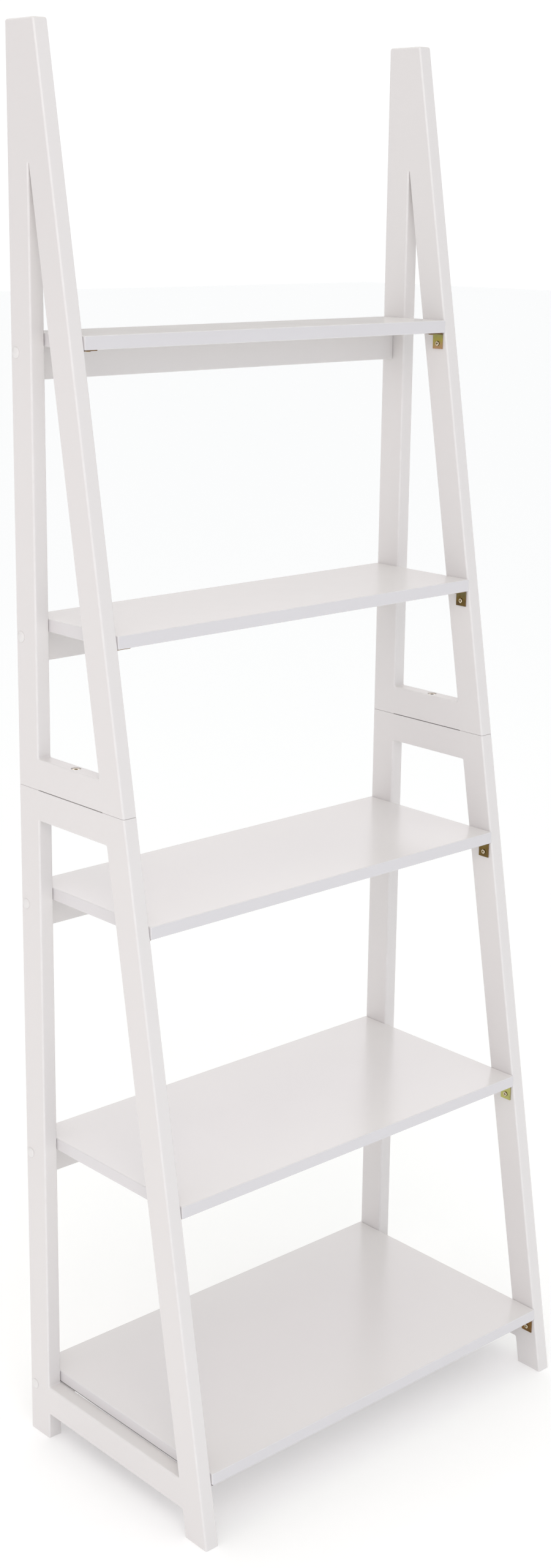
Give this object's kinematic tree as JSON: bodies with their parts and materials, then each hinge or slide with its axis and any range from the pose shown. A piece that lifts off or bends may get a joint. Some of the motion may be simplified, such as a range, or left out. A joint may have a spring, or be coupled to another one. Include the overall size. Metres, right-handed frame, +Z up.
{
  "type": "ladder shelf",
  "caption": "Free-standing A-frame ladder shelf in white lacquered wood, with shelves that grow deeper towards the floor between two leaning side frames.",
  "frame": {"origin": "on the floor, under the middle of the outer box", "axes": "+Z up, +Y to the rear, towards the wall, +X to the right as seen from the front"},
  "size_m": [0.6396, 0.3579, 1.78],
  "materials": {
    "frame_lacquer": "white semi-gloss lacquer on wood",
    "shelf_lacquer": "white semi-gloss lacquer on board",
    "yellow_zinc": "yellow zinc plating",
    "zinc_steel": "plain zinc plating",
    "cap_plastic": "white moulded plastic",
    "beech": "bare wood dowel"
  },
  "bodies": {
    "root": {"upper_rear_post_left": "frame_lacquer", "upper_front_post_left": "frame_lacquer", "upper_rail_left": "frame_lacquer", "lower_rear_post_left": "frame_lacquer", "lower_front_post_left": "frame_lacquer", "lower_top_rail_left": "frame_lacquer", "foot_rail_left": "frame_lacquer", "seam_bolt_left": "yellow_zinc", "seam_pin_rear_left": "beech", "seam_pin_front_left": "beech", "upper_rear_post_right": "frame_lacquer", "upper_front_post_right": "frame_lacquer", "upper_rail_right": "frame_lacquer", "lower_rear_post_right": "frame_lacquer", "lower_front_post_right": "frame_lacquer", "lower_top_rail_right": "frame_lacquer", "foot_rail_right": "frame_lacquer", "seam_bolt_right": "yellow_zinc", "seam_pin_rear_right": "beech", "seam_pin_front_right": "beech", "shelf_1": "shelf_lacquer", "rear_rail_1": "frame_lacquer", "bracket_1_left": "yellow_zinc", "rail_screw_1_left": "zinc_steel", "screw_cap_1_left": "cap_plastic", "bracket_1_right": "yellow_zinc", "rail_screw_1_right": "zinc_steel", "screw_cap_1_right": "cap_plastic", "shelf_2": "shelf_lacquer", "rear_rail_2": "frame_lacquer", "bracket_2_left": "yellow_zinc", "rail_screw_2_left": "zinc_steel", "screw_cap_2_left": "cap_plastic", "bracket_2_right": "yellow_zinc", "rail_screw_2_right": "zinc_steel", "screw_cap_2_right": "cap_plastic", "shelf_3": "shelf_lacquer", "rear_rail_3": "frame_lacquer", "bracket_3_left": "yellow_zinc", "rail_screw_3_left": "zinc_steel", "screw_cap_3_left": "cap_plastic", "bracket_3_right": "yellow_zinc", "rail_screw_3_right": "zinc_steel", "screw_cap_3_right": "cap_plastic", "shelf_4": "shelf_lacquer", "rear_rail_4": "frame_lacquer", "bracket_4_left": "yellow_zinc", "rail_screw_4_left": "zinc_steel", "screw_cap_4_left": "cap_plastic", "bracket_4_right": "yellow_zinc", "rail_screw_4_right": "zinc_steel", "screw_cap_4_right": "cap_plastic", "shelf_5": "shelf_lacquer", "rear_rail_5": "frame_lacquer", "bracket_5_left": "yellow_zinc", "rail_screw_5_left": "zinc_steel", "screw_cap_5_left": "cap_plastic", "bracket_5_right": "yellow_zinc", "rail_screw_5_right": "zinc_steel", "screw_cap_5_right": "cap_plastic"}
  },
  "joints": []
}
